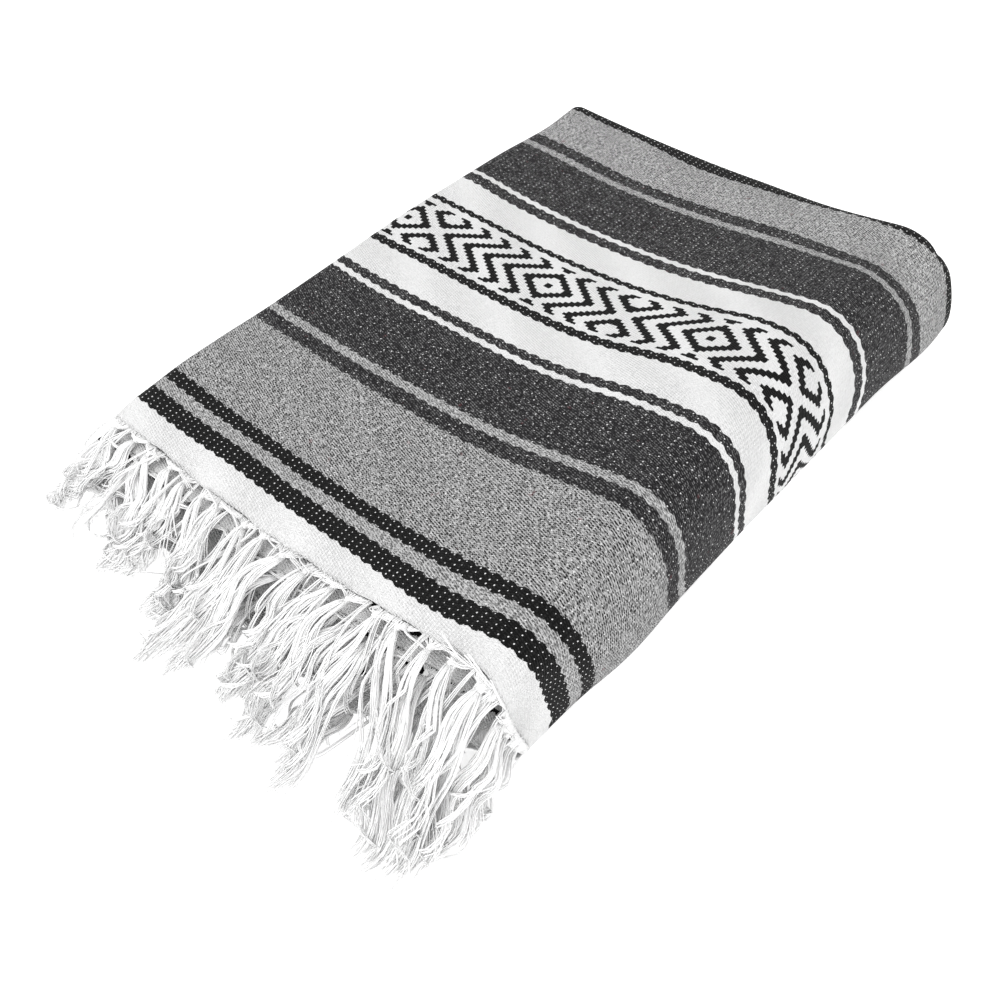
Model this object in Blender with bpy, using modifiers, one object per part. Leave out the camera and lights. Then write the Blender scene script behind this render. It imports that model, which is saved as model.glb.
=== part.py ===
"""A striped, fringed blanket (falsa, the everyday Mexican serape), folded to four layers.

The woven panel is folded in half along its length, so that both fringed ends lie together, and then in
half across its width. Metres, +Z up. +X runs along the stripes to the fat outer fold, +Y runs from the
fringe to the back folds. "run" is the distance along the weft from the upper left selvage, over the top,
round the outer fold and back along the underside; "depth" is the distance along the warp from the outer
edge of the top layer's heading.
"""

import math
from collections import namedtuple

import bmesh
import bpy
import numpy as np
from mathutils import Vector

# The cloth
WALL = 0.003            # thickness of the weave
GAP = 0.0003            # between pieces that touch
HEADING = 0.028         # plain white band woven at each end
HEADING_GAP = 0.0008    # between a heading and the striped cloth behind it
CLEAR = 0.0015          # between the outer half of the blanket and the layers inside it

# The folded outline, across the weft
Turn = namedtuple("Turn", "run angle drifts")   # angle of the cloth in degrees, 0 level, -180 face down
TURNS = (
    Turn(0.000, 85.0, 0),    # the selvage droops over the layers below
    Turn(0.010, 75.0, 0),
    Turn(0.024, 35.0, 0),
    Turn(0.036, 7.0, 0),
    Turn(0.276, 9.2, 0),     # the top climbs towards the fold
    Turn(0.550, 17.2, 1),
    Turn(0.646, -75.0, 1),   # the outer fold
    Turn(0.728, -90.6, 1),
    Turn(0.798, -180.0, 1),
)
LEVEL_RUN = 0.036       # where the drooping selvage has levelled out
UNDER_LEFT = 0.006      # the underside's selvage, from the left edge
FOLD_DRIFT = 0.035      # the outer fold comes this much sooner for each metre of depth
SKEW = -0.053           # sideways lean of the panel for each metre of depth
BOW = 0.037             # how far the stripes bow back at BOW_RUN
BOW_RUN = 0.600
BOW_START = 0.026
BOW_PEAK = 0.720        # the bow is greatest here and dies away under the blanket
Height = namedtuple("Height", "depth left crest")
HEIGHTS = (
    Height(-0.060, 0.048, 0.132),
    Height(0.025, 0.052, 0.140),
    Height(0.120, 0.061, 0.149),
    Height(0.220, 0.068, 0.159),
    Height(0.370, 0.073, 0.168),
    Height(0.470, 0.072, 0.169),
    Height(0.620, 0.064, 0.165),
    Height(0.720, 0.058, 0.157),
    Height(0.860, 0.056, 0.150),
)

# The back folds, where each pair of layers turns over
BACK = 0.765            # depth at which the cloth starts to turn down, at the outer fold
BACK_LEFT = 0.783       # and at the left
BACK_TURN = 150.0       # degrees round to the hidden end
BACK_STEPS = 7
Pair = namedtuple("Pair", "run thickness")
PAIRS = (
    Pair(0.000, 0.0100),
    Pair(0.045, 0.0190),
    Pair(0.270, 0.0400),
    Pair(0.440, 0.0500),
    Pair(0.530, 0.0400),
    Pair(0.630, 0.0360),
    Pair(0.720, 0.0360),
    Pair(0.790, 0.0330),
    Pair(0.850, 0.0480),
    Pair(1.020, 0.0400),
    Pair(1.200, 0.0190),
    Pair(1.300, 0.0100),
)

# Where each layer's striped cloth stops and its heading starts, and how high it lies there, as a
# share of the top layer's height
TOP_FRONT = 0.028
SECOND_FRONT = 0.006
THIRD_FRONT = -0.017
BOTTOM_FRONT = -0.030
SECOND_SHARE = 0.72
THIRD_SHARE = 0.38
LIP_SHARE = 0.94        # a step's front edge is rounded down to this much of its height
INNER_WIDTH = 0.93      # the inner layers' fold lies inside the outer one
INNER_START = 0.030     # first run at which the inner layers fill the space below the top
INNER_STEPS = 20        # stations over the top
STEP_EDGE = 0.010       # the stepped ends' plain rounded edge, from their left side
Selvage = namedtuple("Selvage", "height out")
SELVAGES = (
    Selvage(0.02, 0.012),    # the third layer's edge
    Selvage(0.12, 0.006),
    Selvage(0.38, 0.006),
    Selvage(0.48, 0.011),
    Selvage(0.52, 0.011),    # the second layer's edge
    Selvage(0.62, 0.004),
    Selvage(0.88, 0.004),
    Selvage(0.98, 0.010),
)

# The knotted fringe. Seen from above, every strand keeps to a flow line, so that none meet: "line" is
# a flow line's x at y = 0, and "swing" how far sideways it has gone at FLOW_LENGTH.
PITCH = 0.040           # between the tassels of a layer
ROOT_HALF = 0.006       # half the width of a tassel where it leaves the heading
STRAND_SPREAD = 0.0033  # from a tassel's middle line to its outer strands
STRAND_SCALE = 0.42     # a strand's size against its share of the knot
TIP_SCALE = 0.28
STRAND_STEPS = 4
TIP_HEIGHT = 0.0035     # strands end just above the floor
Ring = namedtuple("Ring", "along half_width half_height")
KNOT_RINGS = (
    Ring(0.008, 0.0034, 0.0019),
    Ring(0.014, 0.0046, 0.0038),
    Ring(0.020, 0.0038, 0.0026),
)
RING_SHAPE = ((-1, 0.75), (0, 1.0), (1, 0.75), (1, -0.75), (0, -1.0), (-1, -0.75))
STRAND_CELLS = ((0, 1, 5), (1, 4, 5), (1, 2, 4), (2, 3, 4))     # a knot's end, shared among its strands
KNOT_DIP = 4.0          # downward slope of a knot for each metre it lies above KNOT_LEVEL
KNOT_LEVEL = 0.035
FLOW_LENGTH = 0.160
Flow = namedtuple("Flow", "line swing reach")
FLOWS = (
    Flow(0.000, -0.055, 0.085),
    Flow(0.060, -0.018, 0.115),
    Flow(0.200, 0.006, 0.130),
    Flow(0.370, 0.022, 0.148),
    Flow(0.560, 0.045, 0.142),
)
Layer = namedtuple("Layer", "name front share first count shorter")
LAYERS = (
    Layer("fringe_top", TOP_FRONT, 1.00, 0.030, 14, 0.012),
    Layer("fringe_second", SECOND_FRONT, SECOND_SHARE, 0.050, 12, 0.008),
    Layer("fringe_third", THIRD_FRONT, THIRD_SHARE, 0.040, 12, 0.004),
    Layer("fringe_bottom", BOTTOM_FRONT, 0.00, 0.060, 12, 0.000),
)
FoldTassel = namedtuple("FoldTassel", "run tip_x tip_y")
FOLD_TASSELS = (
    FoldTassel(0.616, 0.622, -0.130),
    FoldTassel(0.659, 0.640, -0.100),
    FoldTassel(0.702, 0.644, -0.050),
)
TOP_STRIP = (0.004, 0.795)      # runs between which the top heading lies
BOTTOM_STRIP = (0.030, 0.556)   # and x of the bottom one
INNER_STRIP = (0.014, 0.545)

CLOTH_COLORS = {
    "white": (0.86, 0.86, 0.85, 1.0),
    "grey": (0.36, 0.36, 0.36, 1.0),
    "charcoal": (0.055, 0.053, 0.056, 1.0),
}


def clear_scene():
    for item in list(bpy.data.objects):
        bpy.data.objects.remove(item, do_unlink=True)


def cloth_material(name):
    material = bpy.data.materials.new(name)
    material.use_nodes = True
    shader = material.node_tree.nodes["Principled BSDF"]
    shader.inputs["Base Color"].default_value = CLOTH_COLORS[name]
    shader.inputs["Roughness"].default_value = 0.95
    shader.inputs["Metallic"].default_value = 0.0
    return material


def smooth_through(knots, values, where):
    """A monotone cubic through the knots, read at the places in where."""
    knots = np.asarray(knots, float)
    values = np.asarray(values, float)
    span = np.diff(knots)
    slope = np.diff(values) / span
    tangent = np.concatenate([[slope[0]], np.zeros(len(slope) - 1), [slope[-1]]])
    for i in range(1, len(slope)):
        before, after = slope[i - 1], slope[i]
        if before * after > 0:
            near = 2 * span[i] + span[i - 1]
            far = span[i] + 2 * span[i - 1]
            tangent[i] = (near + far) / (near / before + far / after)
    where = np.clip(np.asarray(where, float), knots[0], knots[-1])
    i = np.clip(np.searchsorted(knots, where, side="right") - 1, 0, len(span) - 1)
    t = (where - knots[i]) / span[i]
    start = (1 + 2 * t) * (1 - t) ** 2 * values[i] + t * (1 - t) ** 2 * span[i] * tangent[i]
    end = t * t * (3 - 2 * t) * values[i + 1] - t * t * (1 - t) * span[i] * tangent[i + 1]
    return start + end


def column(table, name):
    return [getattr(row, name) for row in table]


def bow(run):
    """How far back the stripes lie at a run, from the front corner on the left."""
    under = np.clip((CLOTH_END - run) / (CLOTH_END - BOW_PEAK), 0, 1) * (BOW_PEAK - BOW_START)
    over = np.clip(run - BOW_START, 0, BOW_PEAK - BOW_START)
    return BOW * (np.where(run < BOW_PEAK, over, under) / BOW_RUN) ** 2


def raw_outline(depth):
    """The outline at a depth: run, x and z, from the selvage round the fold to the underside."""
    knots = [row.run - FOLD_DRIFT * max(depth, 0) * row.drifts for row in TURNS]
    run = np.linspace(0, knots[-1], 481)
    angle = np.radians(smooth_through(knots, column(TURNS, "angle"), run))
    step = run[1] - run[0]
    x = np.concatenate([[0], np.cumsum(np.cos(angle[1:]) + np.cos(angle[:-1])) * step / 2])
    z = np.concatenate([[0], np.cumsum(np.sin(angle[1:]) + np.sin(angle[:-1])) * step / 2])
    depths = column(HEIGHTS, "depth")
    left = float(smooth_through(depths, column(HEIGHTS, "left"), depth))
    crest = float(smooth_through(depths, column(HEIGHTS, "crest"), depth))
    top = int(np.argmax(z))
    level = np.interp(LEVEL_RUN, run, z)
    climb = left + (z - level) * (crest - left) / (z[top] - level)
    fall = crest * (z - z[-1]) / (z[top] - z[-1])
    z = np.where(np.arange(len(z)) <= top, climb, fall)
    return run, x - x.min(), z


def cloth_end():
    run, x, _ = raw_outline(0.0)
    return run[-1] + x[-1] - UNDER_LEFT


CLOTH_END = cloth_end()     # run of the underside's selvage: the width of the woven panel


def outline(depth, where):
    """Points and outward normals of the outer face at a depth, at the runs in where."""
    run, x, z = raw_outline(depth)
    run = np.append(run, CLOTH_END)
    x = np.append(x, UNDER_LEFT)
    z = np.append(z, 0.0)
    normal_x = -np.gradient(z, run)
    normal_z = np.gradient(x, run)
    normal_x[-2:] = 0.0
    normal_z[-2:] = -1.0
    length = np.hypot(normal_x, normal_z)
    points = np.stack([np.interp(where, run, x), np.interp(where, run, z)], 1)
    normals = np.stack([np.interp(where, run, normal_x / length), np.interp(where, run, normal_z / length)], 1)
    return points, normals / np.linalg.norm(normals, axis=1)[:, None]


def place(x, depth, run, z):
    """A point of the blanket in the model's frame, before it is centred."""
    return (x + SKEW * depth, depth + float(bow(np.float64(run))), max(z, 0.0))


def outer_face(depth, runs, inset=0.0):
    points, normals = outline(depth, runs)
    points = points - normals * inset
    return [place(p[0], depth, r, p[1]) for p, r in zip(points, runs)]


def front_depth(run):
    """Depth of the outer half's striped edge: the top layer's, easing to the bottom layer's."""
    ease = np.clip((run - 0.72) / 0.24, 0, 1)
    ease = ease * ease * (3 - 2 * ease)
    return TOP_FRONT + (BOTTOM_FRONT - TOP_FRONT) * ease


def back_depth(run):
    """Depth at which the outer half starts to turn down at the back."""
    return float(np.interp(run, (0.0, 0.6), (BACK_LEFT, BACK)))


def outer_runs():
    """Runs of the outer half's stations: close together where the cloth turns."""
    droop = np.linspace(0.0, 0.045, 5)
    top = np.linspace(0.045, 0.51, 9)[1:]
    fold = np.linspace(0.51, 0.80, 17)[1:]
    under = np.linspace(0.80, CLOTH_END, 9)[1:]
    return np.concatenate([droop, top, fold, under])


def body_depths():
    return np.linspace(TOP_FRONT, BACK, 12)


def grid_mesh(name, rows):
    """An open surface through rows of points."""
    shape = bmesh.new()
    grid = [[shape.verts.new(p) for p in row] for row in rows]
    for near, far in zip(grid, grid[1:]):
        for i in range(len(near) - 1):
            shape.faces.new((near[i], near[i + 1], far[i + 1], far[i]))
    mesh = bpy.data.meshes.new(name)
    shape.to_mesh(mesh)
    shape.free()
    return mesh


def outer_half(collection, material):
    """The half that shows: top, outer fold, underside, and the two folds at the back."""
    runs = outer_runs()
    rows = []
    for share in np.linspace(0, 1, 12):
        row = []
        for run in runs:
            front = front_depth(run)
            depth = front + (back_depth(run) - front) * share
            row += outer_face(depth, np.array([run]))
        rows.append(row)
    ends = [outline(back_depth(run), np.array([run])) for run in runs]
    radius = smooth_through(column(PAIRS, "run"), column(PAIRS, "thickness"), runs) / 2
    for step in range(1, BACK_STEPS + 1):
        turn = math.radians(BACK_TURN) * step / BACK_STEPS
        inward = radius * (1 - math.cos(turn))
        back = radius * math.sin(turn)
        row = []
        for (points, normals), d, b, run in zip(ends, inward, back, runs):
            p = points[0] - normals[0] * d
            x, y, z = place(p[0], back_depth(run), run, p[1])
            row.append((x, y + b, z))
        rows.append(row)
    mesh = grid_mesh("outer_half", rows)
    cloth = bpy.data.objects.new("outer_half", mesh)
    mesh.materials.append(material)
    collection.objects.link(cloth)
    solid = cloth.modifiers.new("weave", "SOLIDIFY")
    solid.thickness = WALL
    solid.offset = -1.0
    solid.use_even_offset = True
    return cloth


def inner_runs(depth):
    """Runs over the top, from INNER_START to the widest place, and those straight below them."""
    run, x, _ = raw_outline(depth)
    run = np.append(run, CLOTH_END)
    x = np.append(x, UNDER_LEFT)
    widest = int(np.argmax(x))
    start = np.interp(INNER_START, run, x)
    share = 1 - (1 - np.linspace(0, 1, INNER_STEPS)) ** 2.2
    across = start + (x[widest] - start) * share
    tops = np.interp(across, x[:widest + 1], run[:widest + 1])
    below = np.interp(across, x[widest:][::-1], run[widest:][::-1])
    return tops, below


def inner_loop(depth, share, width, left):
    """The inner layers' section at a depth, lowered to a share of the height and narrowed at both sides.

    Its first half runs over the top to the widest place, its second half back along the bottom
    straight below, and the last points are the two layers' rounded selvages.
    """
    low = WALL + CLEAR
    tops, below = inner_runs(depth)
    runs = np.concatenate([tops, below[-2::-1]])
    points, normals = outline(depth, runs)
    points = points - normals * low
    points[:, 1] = low + (np.maximum(points[:, 1], low) - low) * share
    points[:, 0] = left + points[:, 0] * (width - left / BOW_RUN)
    rise = (outline(depth, np.array([0.0]))[0][0][1] - WALL - GAP - low) * min(share + 0.1, 1.0)
    loop = [place(p[0], depth, r, p[1]) for p, r in zip(points, runs)]
    for height, out in SELVAGES:
        edge = out if left == 0 else left + STEP_EDGE + 0.003 * (2 * height - 1) ** 2
        loop.append(place(edge, depth, BOW_START, low + rise * height))
    return loop


def close_end(shape, loop):
    """Closes an end of the inner layers with upright strips, and one piece at the selvages."""
    last = 2 * INNER_STEPS - 2
    for i in range(INNER_STEPS - 2):
        shape.faces.new((loop[i], loop[i + 1], loop[last - 1 - i], loop[last - i]))
    shape.faces.new(loop[INNER_STEPS - 2: INNER_STEPS + 1])
    shape.faces.new([loop[0]] + loop[last:])


def inner_layers(collection, material):
    """The hidden layers as one rounded solid, stepped at the fringe like the layers' ends."""
    lip = 0.004
    stations = [
        (THIRD_FRONT, THIRD_SHARE * LIP_SHARE, INNER_WIDTH - 0.01, 0.012),
        (THIRD_FRONT + lip, THIRD_SHARE, INNER_WIDTH, 0.012),
        (SECOND_FRONT, THIRD_SHARE + 0.02, INNER_WIDTH, 0.012),
        (SECOND_FRONT + GAP, SECOND_SHARE * LIP_SHARE, INNER_WIDTH - 0.01, 0.014),
        (SECOND_FRONT + lip, SECOND_SHARE, INNER_WIDTH, 0.014),
        (TOP_FRONT, 0.93, 0.96, 0.005),
    ]
    stations += [(depth, 1.0, 1.0, 0.0) for depth in body_depths()[1:-1]]
    stations.append((BACK - 0.002, 1.0, 1.0, 0.0))
    shape = bmesh.new()
    loops = [[shape.verts.new(p) for p in inner_loop(*station)] for station in stations]
    for near, far in zip(loops, loops[1:]):
        for i in range(len(near)):
            j = (i + 1) % len(near)
            shape.faces.new((near[i], near[j], far[j], far[i]))
    close_end(shape, loops[0])
    close_end(shape, loops[-1])
    bmesh.ops.triangulate(shape, faces=[f for f in shape.faces if len(f.verts) > 4])
    bmesh.ops.recalc_face_normals(shape, faces=shape.faces)
    mesh = bpy.data.meshes.new("inner_layers")
    shape.to_mesh(mesh)
    shape.free()
    mesh.materials.append(material)
    layers = bpy.data.objects.new("inner_layers", mesh)
    collection.objects.link(layers)
    return layers


def run_at(x, below=False):
    """The run at which the top, or the underside, reaches an x at the front."""
    run, across, _ = raw_outline(TOP_FRONT)
    run = np.append(run, CLOTH_END)
    across = np.append(across, UNDER_LEFT)
    widest = int(np.argmax(across))
    if below:
        return float(np.interp(x, across[widest:][::-1], run[widest:][::-1]))
    return float(np.interp(x, across[:widest + 1], run[:widest + 1]))


def heading_section(layer, where):
    """Corners of a heading: upper front, lower front, lower back, upper back.

    The top one is placed by run, so that it can follow the fold, the others by x.
    """
    if layer.share == 1.0:
        normal = Vector(outline(TOP_FRONT, np.array([where]))[1][0])
        down = Vector((-normal.x, 0, -normal.y)) * WALL
        back = front_depth(where) - HEADING_GAP
        upper = [Vector(outer_face(depth, np.array([where]))[0]) for depth in (back - HEADING, back)]
    elif layer.share == 0.0:
        run = run_at(where, below=True)
        down = Vector((0, 0, -WALL))
        back = front_depth(run) - HEADING_GAP
        upper = [Vector(outer_face(depth, np.array([run]))[0]) - down for depth in (back - HEADING, back)]
    else:
        run = run_at(where / INNER_WIDTH)
        low = WALL + CLEAR
        top = outline(TOP_FRONT, np.array([run]))[0][0][1]
        height = low + (top - 2 * low) * layer.share * LIP_SHARE - GAP
        down = Vector((0, 0, -WALL))
        back = layer.front - 2 * GAP
        upper = [Vector(place(where, depth, run, height)) for depth in (back - HEADING, back)]
    return [upper[0], upper[0] + down, upper[1] + down, upper[1]]


def flow_x(line, y):
    swing = float(smooth_through(column(FLOWS, "line"), column(FLOWS, "swing"), line))
    return line + swing * (max(-y, 0.0) / FLOW_LENGTH) ** 1.5


def flow_line(x, y):
    """The flow line that passes through a point."""
    line = x
    for _ in range(8):
        line += x - flow_x(line, y)
    return line


def ring_points(centre, along, ahead, half_width, half_height):
    """Six points round a centre: three above, then three below, all square to the way ahead."""
    up = ahead.cross(along).normalized()
    return [centre + along * half_width * side + up * half_height * height for side, height in RING_SHAPE]


def bridge(shape, near, far):
    for i in range(len(near)):
        j = (i + 1) % len(near)
        shape.faces.new((near[i], near[j], far[j], far[i]))


def lane_path(start, layer):
    """A strand bundle's middle line on its flow line, from knot to tip."""
    line = flow_line(start.x, start.y)
    reach = float(smooth_through(column(FLOWS, "line"), column(FLOWS, "reach"), line))
    tip_y = min(-reach + layer.shorter, start.y - 0.030)
    tip = TIP_HEIGHT
    power = 0.8 + 1.1 * min(line / 0.3, 1.0) * layer.share

    def at(t):
        y = start.y + (tip_y - start.y) * t
        return Vector((flow_x(line, y), y, tip + (start.z - tip) * max(1 - t, 0.0) ** power))

    return at


def fold_path(start, tassel):
    """The middle line of a tassel that hangs from the fold."""
    def at(t):
        x = start.x + (tassel.tip_x - start.x) * t
        y = start.y + (tassel.tip_y - start.y) * t
        return Vector((x, y, TIP_HEIGHT + 0.0035 + (start.z - TIP_HEIGHT - 0.0035) * max(1 - t, 0.0) ** 1.7))

    return at


def add_strands(shape, ring, path, along):
    """Splits a knot's end into its strands and leads them along a path."""
    knot = KNOT_RINGS[-1]
    for number, cell in enumerate(STRAND_CELLS):
        side = 2 * number / (len(STRAND_CELLS) - 1) - 1
        corners = np.array([RING_SHAPE[i] for i in cell]) * (knot.half_width, knot.half_height)
        corners -= corners.mean(0)
        near = [ring[i] for i in cell]
        for step in range(1, STRAND_STEPS + 1):
            t = step / STRAND_STEPS
            forward = (path(t) - path(t - 0.1)).normalized()
            across = Vector((-forward.y, forward.x, 0)).normalized()
            row = (along * (1 - t) + across * t).normalized()
            up = forward.cross(row).normalized()
            spot = path(t) + row * side * STRAND_SPREAD
            scale = STRAND_SCALE + (TIP_SCALE - STRAND_SCALE) * t
            far = [shape.verts.new(spot + row * float(c[0]) * scale + up * float(c[1]) * scale) for c in corners]
            bridge(shape, near, far)
            near = far
        shape.faces.new(near)


def add_tassel(shape, root, path_from):
    """Builds neck, knot and strands out from six root points on a heading's edge."""
    centre = sum((v.co for v in root), Vector()) / len(root)
    along = (root[2].co - root[0].co).normalized()
    dip = KNOT_DIP * max(centre.z - KNOT_LEVEL, 0.0)
    ahead = Vector((0, -1, -dip)).normalized()
    ring = root
    for row in KNOT_RINGS:
        spot = centre + ahead * row.along
        spot.z = max(spot.z, row.half_height + 0.0012)
        outer = [shape.verts.new(p) for p in ring_points(spot, along, ahead, row.half_width, row.half_height)]
        bridge(shape, ring, outer)
        ring = outer
    start = centre + ahead * (KNOT_RINGS[-1].along + 0.001)
    start.z = max(start.z, KNOT_RINGS[-1].half_height + 0.0012)
    add_strands(shape, ring, path_from(start), along)


def lane_place(layer, line):
    """Where on a heading a tassel must start for its strands to follow a flow line."""
    where = run_at(line) if layer.share == 1.0 else line
    for _ in range(12):
        root = heading_section(layer, where)[0]
        where += flow_x(line, root.y - KNOT_RINGS[-1].along) - root.x
    return where


def tassel_places(layer):
    """Where a layer's tassels leave its heading, by run for the top layer and by x for the others."""
    places = [(lane_place(layer, layer.first + PITCH * i), None) for i in range(layer.count)]
    if layer.share == 1.0:
        places += [(tassel.run, tassel) for tassel in FOLD_TASSELS]
    return places


def strip_stations(layer, places):
    """Stations along a heading, three at each tassel."""
    start, stop = TOP_STRIP if layer.share == 1.0 else BOTTOM_STRIP if layer.share == 0.0 else INNER_STRIP
    stations = [start]
    for where, _ in places:
        stations += [where - ROOT_HALF, where, where + ROOT_HALF]
    if layer.share == 1.0:
        stations += [0.733, 0.753, 0.773]
    stations.append(stop)
    return stations


def fringe(collection, material, layer):
    """A heading with its knotted tassels."""
    shape = bmesh.new()
    places = tassel_places(layer)
    stations = strip_stations(layer, places)
    sections = [[shape.verts.new(p) for p in heading_section(layer, where)] for where in stations]
    for i, (near, far) in enumerate(zip(sections, sections[1:])):
        at_root = i % 3 != 0 and i < 3 * len(places)
        for a in range(4):
            b = (a + 1) % 4
            if not (a == 0 and at_root):
                shape.faces.new((near[a], near[b], far[b], far[a]))
    shape.faces.new(sections[0])
    shape.faces.new(sections[-1][::-1])
    for number, (_, fold_tassel) in enumerate(places):
        first, middle, last = sections[1 + number * 3: 4 + number * 3]
        root = [first[0], middle[0], last[0], last[1], middle[1], first[1]]
        if fold_tassel:
            add_tassel(shape, root, lambda start: fold_path(start, fold_tassel))
        else:
            add_tassel(shape, root, lambda start: lane_path(start, layer))
    bmesh.ops.recalc_face_normals(shape, faces=shape.faces)
    mesh = bpy.data.meshes.new(layer.name)
    shape.to_mesh(mesh)
    shape.free()
    mesh.materials.append(material)
    piece = bpy.data.objects.new(layer.name, mesh)
    collection.objects.link(piece)
    return piece


def centre_on_floor(objects):
    """Moves every mesh so that the blanket's box is centred on the origin and stands on the floor."""
    bpy.context.view_layer.update()
    corners = np.array([v.co for item in objects for v in item.data.vertices])
    middle = (corners.min(0) + corners.max(0)) / 2
    for item in objects:
        for vertex in item.data.vertices:
            vertex.co.x -= middle[0]
            vertex.co.y -= middle[1]


def main():
    clear_scene()
    collection = bpy.data.collections.new("folded_serape")
    bpy.context.scene.collection.children.link(collection)
    white = cloth_material("white")
    grey = cloth_material("grey")
    charcoal = cloth_material("charcoal")
    objects = [outer_half(collection, grey), inner_layers(collection, charcoal)]
    objects += [fringe(collection, white, layer) for layer in LAYERS]
    centre_on_floor(objects)


main()
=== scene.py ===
"""The looks of a folded falsa blanket (the everyday Mexican serape): cloth, fringe, camera and light.

Metres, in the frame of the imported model. "run" is the distance along the weft from the upper left
selvage, over the top, round the outer fold and back along the underside. "depth" is the distance along
the warp from the outer edge of the top layer's heading, before the model is centred.
"""

import math
import random
from collections import namedtuple
from functools import partialmethod

import bpy
import numpy as np
from mathutils import Matrix, Vector


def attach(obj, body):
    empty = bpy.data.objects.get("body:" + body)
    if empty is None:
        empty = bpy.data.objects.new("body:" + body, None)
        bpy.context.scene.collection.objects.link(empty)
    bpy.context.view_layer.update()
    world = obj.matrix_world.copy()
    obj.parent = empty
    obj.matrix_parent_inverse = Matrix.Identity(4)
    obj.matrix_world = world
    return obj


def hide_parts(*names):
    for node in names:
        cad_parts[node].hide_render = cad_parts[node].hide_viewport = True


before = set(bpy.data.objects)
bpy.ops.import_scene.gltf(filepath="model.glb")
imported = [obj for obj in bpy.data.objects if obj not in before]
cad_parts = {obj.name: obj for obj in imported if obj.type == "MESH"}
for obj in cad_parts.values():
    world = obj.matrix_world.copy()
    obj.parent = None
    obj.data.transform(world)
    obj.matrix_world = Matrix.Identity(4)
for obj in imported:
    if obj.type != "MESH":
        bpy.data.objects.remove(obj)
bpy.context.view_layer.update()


def table(columns, *rows):
    """Rows of numbers, with a name for each column."""
    kind = namedtuple("Row", columns)
    return [kind(*row) for row in rows]


# The solids' folded outline, as the part's source has it
WALL = 0.003
GAP = 0.0003
HEADING = 0.028
HEADING_GAP = 0.0008
CLEAR = 0.0015
CENTRE = Vector((0.3029, 0.3413, 0.0))  # the model is centred on its box
TURNS = table(
    "run angle drifts",
    (0, 85, 0), (0.01, 75, 0), (0.024, 35, 0), (0.036, 7, 0), (0.276, 9.2, 0),
    (0.55, 17.2, 1), (0.646, -75, 1), (0.728, -90.6, 1), (0.798, -180, 1),
)
LEVEL_RUN = 0.036
UNDER_LEFT = 0.006
FOLD_DRIFT = 0.035
SKEW = -0.053
BOW = 0.037
BOW_RUN = 0.6
BOW_START = 0.026
BOW_PEAK = 0.72
HEIGHTS = table(
    "depth left crest",
    (-0.06, 0.048, 0.132), (0.025, 0.052, 0.14), (0.12, 0.061, 0.149), (0.22, 0.068, 0.159),
    (0.37, 0.073, 0.168), (0.47, 0.072, 0.169), (0.62, 0.064, 0.165), (0.72, 0.058, 0.157),
    (0.86, 0.056, 0.15),
)
BACK = 0.765
BACK_LEFT = 0.783
BACK_RUN = 0.6  # from this run on the back lies at BACK
BACK_TURN = 150.0
PAIRS = table(
    "run thickness",
    (0, 0.01), (0.045, 0.019), (0.27, 0.04), (0.38, 0.044), (0.48, 0.034), (0.56, 0.028),
    (0.64, 0.024), (0.7, 0.03), (0.79, 0.031), (0.86, 0.036), (1.02, 0.04), (1.2, 0.019),
    (1.3, 0.01),
)
TRIMS = table(  # how far the back fold stands forward of the solid's
    "run forward",
    (0, 0), (0.32, 0), (0.44, 0.008), (0.56, 0.013), (0.585, 0.016), (0.61, 0.006),
    (0.635, -0.001), (0.69, 0.004), (0.82, 0.002), (1, 0),
)
TOP_FRONT = 0.028
SECOND_FRONT = 0.006
THIRD_FRONT = -0.017
BOTTOM_FRONT = -0.03
SECOND_SHARE = 0.72
THIRD_SHARE = 0.38
INNER_WIDTH = 0.955
INNER_START = 0.03
OUTLINE_POINTS = 481
OUTER_EASE = 0.72  # runs from which the striped edges ease from one layer's place to the next's
INNER_EASE = 0.6
EASE_LENGTH = 0.24

# The top cloth where it leaves the solid's form. Waves are rows of size, radians per metre and phase.
CORNER_SPREAD = 0.013  # the heading is wider at the near corner of the fold
CORNER_RUN = 0.66
CORNER_REACH = 0.075
FORM_DEPTHS = (-0.07, 0.8, 70)
OUTER_ROWS = 150
BACK_ROWS = 14
EDGE_REACH = 0.1  # runs over which the left edge's wave fades out
RELIEF_HEIGHT = 0.02  # the relief fades out below this height
SAG_HEIGHT = 0.03  # and the heading's sag below this one
SAG_CURVE = 1.6
SAG = 0.004
SAG_WAVES = ((0.0014, 41, 0), (0.0009, 97, 1))
HEM_WAVES = ((0.001, 53, 2), (0.0006, 131, 0))

# The weave: stripes by depth, each from the depth given, and what each yarn looks like
Yarn = namedtuple("Yarn", "color light_flecks dark_flecks dots")
YARNS = {
    "white": Yarn((0.775, 0.775, 0.775), 0.0, 0.04, 0.0),
    "light": Yarn((0.4, 0.4, 0.4), 0.7, 0.75, 0.1),
    "grey": Yarn((0.338, 0.338, 0.338), 0.85, 1.0, 0.55),
    # pale: the grey stripe at the back, drawn a lighter grey than the grey stripe at the front
    "pale": Yarn((0.425, 0.425, 0.425), 0.85, 0.95, 0.45),
    "coal": Yarn((0.017, 0.016, 0.018), 0.27, 0.8, 0.5),
    "black": Yarn((0.004, 0.004, 0.004), 0.02, 0.0, 1.0),
}
STRIPES = table(
    "depth yarn",
    (-0.1, "white"), (0.027, "black"), (0.0495, "light"), (0.066, "black"), (0.0815, "grey"),
    (0.1985, "coal"), (0.217, "light"), (0.2285, "coal"), (0.319, "white"), (0.3265, "coal"),
    (0.341, "white"), (0.387, "black"), (0.3965, "white"), (0.4915, "black"), (0.5005, "white"),
    (0.5425, "coal"), (0.5565, "white"), (0.565, "coal"), (0.664, "light"), (0.6755, "coal"),
    (0.694, "pale"), (0.7725, "black"), (0.796, "light"), (0.809, "black"),
)
STRIPES_FROM = -0.1  # the stripes' ramps span the metre from this depth
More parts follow.
